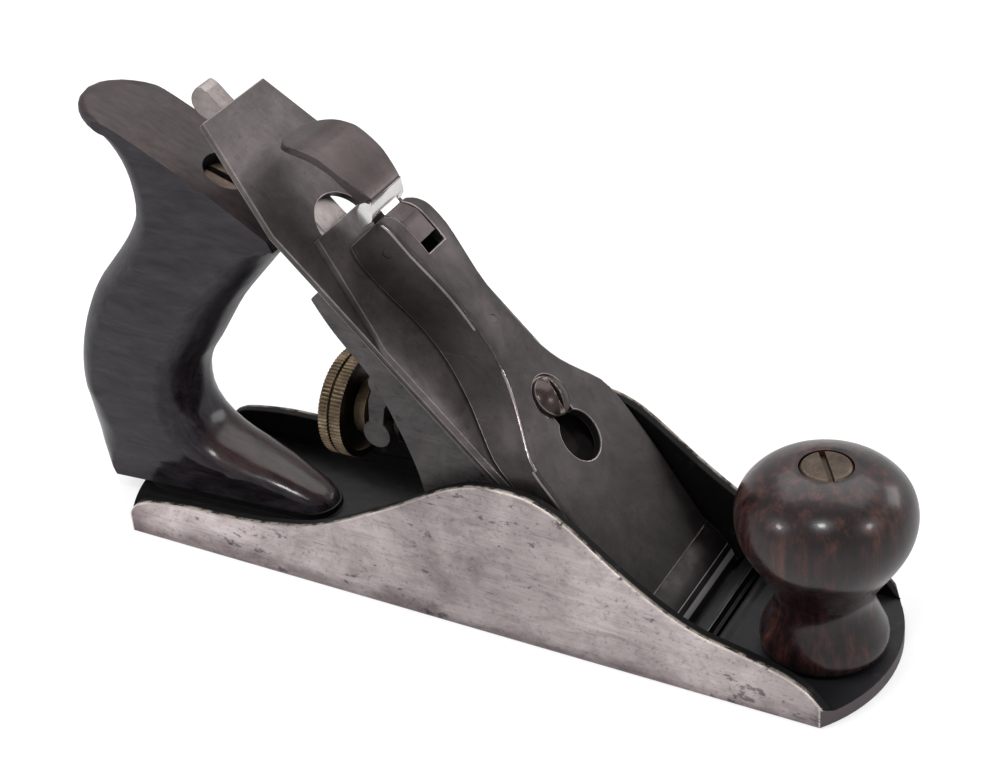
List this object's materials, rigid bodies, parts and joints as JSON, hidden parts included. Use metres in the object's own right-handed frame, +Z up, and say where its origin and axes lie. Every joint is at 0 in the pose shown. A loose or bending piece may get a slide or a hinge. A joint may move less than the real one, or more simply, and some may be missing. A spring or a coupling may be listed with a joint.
{
  "type": "bench smoothing plane",
  "caption": "Iron smoothing plane with a 45-degree bedded iron, wheel-and-yoke depth adjuster, lateral lever, cam-locked lever cap and two wooden handles.",
  "frame": {"origin": "middle of the sole's underside, between the heel and toe corners and between the side faces", "axes": "+X from heel to toe along the sole, +Y to the plane's left seen from behind, +Z up from the sole"},
  "size_m": [0.2486, 0.0542, 0.1338],
  "materials": {
    "sole_iron": "ground sides, black-lacquered inside",
    "frog_iron": "worn cast iron",
    "screw_steel": "aged steel",
    "brass": "aged brass",
    "lateral_steel": "brushed steel",
    "iron_steel": "browned steel with bright worn edges",
    "lever_cap_iron": "old nickel plate worn to gray-brown",
    "tote_wood": "black-stained, waxed",
    "knob_wood": "dark red-brown, varnished"
  },
  "bodies": {
    "plane_body": {"sole_casting": "sole_iron", "frog": "frog_iron", "frog_screws": "screw_steel", "frog_washers": "screw_steel", "depth_stud": "screw_steel", "yoke_pin": "screw_steel", "lateral_rivet": "lateral_steel", "lever_cap": "lever_cap_iron", "lever_cap_screw": "screw_steel", "cam_pin": "screw_steel", "cap_spring": "lateral_steel", "spring_rivet": "screw_steel", "tote": "tote_wood", "tote_rod": "screw_steel", "tote_nut": "brass", "knob": "knob_wood", "knob_rod": "screw_steel", "knob_nut": "brass"},
    "collar": {"depth_collar": "brass"},
    "wheel": {"depth_wheel": "brass"},
    "yoke": {"yoke_lever": "frog_iron"},
    "iron_pack": {"cap_iron": "iron_steel", "cap_iron_screw": "screw_steel"},
    "blade": {"cutting_iron": "iron_steel"},
    "lateral": {"lateral_lever": "lateral_steel", "lateral_roller": "lateral_steel"},
    "cam": {"cam_lever": "lever_cap_iron"}
  },
  "joints": [
    {"name": "wheel_spin", "type": "hinge", "parent": "collar", "child": "wheel", "pos_m": [-0.041, 0, 0.044], "axis": [1, 0, 0], "range_deg": [-660, 185]},
    {"name": "collar_travel", "type": "slide", "parent": "plane_body", "child": "collar", "axis": [1, 0, 0], "range_m": [-0.0007, 0.0024]},
    {"name": "yoke_rock", "type": "hinge", "parent": "plane_body", "child": "yoke", "pos_m": [-0.024, 0, 0.061], "axis": [0, 1, 0], "range_deg": [-7.2, 2.2]},
    {"name": "iron_feed", "type": "slide", "parent": "plane_body", "child": "iron_pack", "axis": [0.7071, 0, -0.7071], "range_m": [-0.0022, 0.0006]},
    {"name": "lateral_swing", "type": "hinge", "parent": "plane_body", "child": "lateral", "pos_m": [-0.02932, 0, 0.08697], "axis": [0.7071, 0, 0.7071], "range_deg": [-10, 10]},
    {"name": "iron_tilt", "type": "hinge", "parent": "iron_pack", "child": "blade", "pos_m": [0.04705, 0, 0.01344], "axis": [0.7071, 0, 0.7071], "range_deg": [-1.1, 1.1]},
    {"name": "cam_swing", "type": "hinge", "parent": "plane_body", "child": "cam", "pos_m": [-0.02005, 0, 0.09977], "axis": [0, 1, 0], "range_deg": [0, 100]}
  ],
  "couplings": [
    {"joint": "wheel_spin", "follows": "iron_feed", "rad_per_m": 5053.8},
    {"joint": "collar_travel", "follows": "iron_feed", "ratio": -1.0215},
    {"joint": "yoke_rock", "follows": "iron_feed", "rad_per_m": 53.763},
    {"joint": "iron_tilt", "follows": "lateral_swing", "ratio": -0.09845}
  ]
}
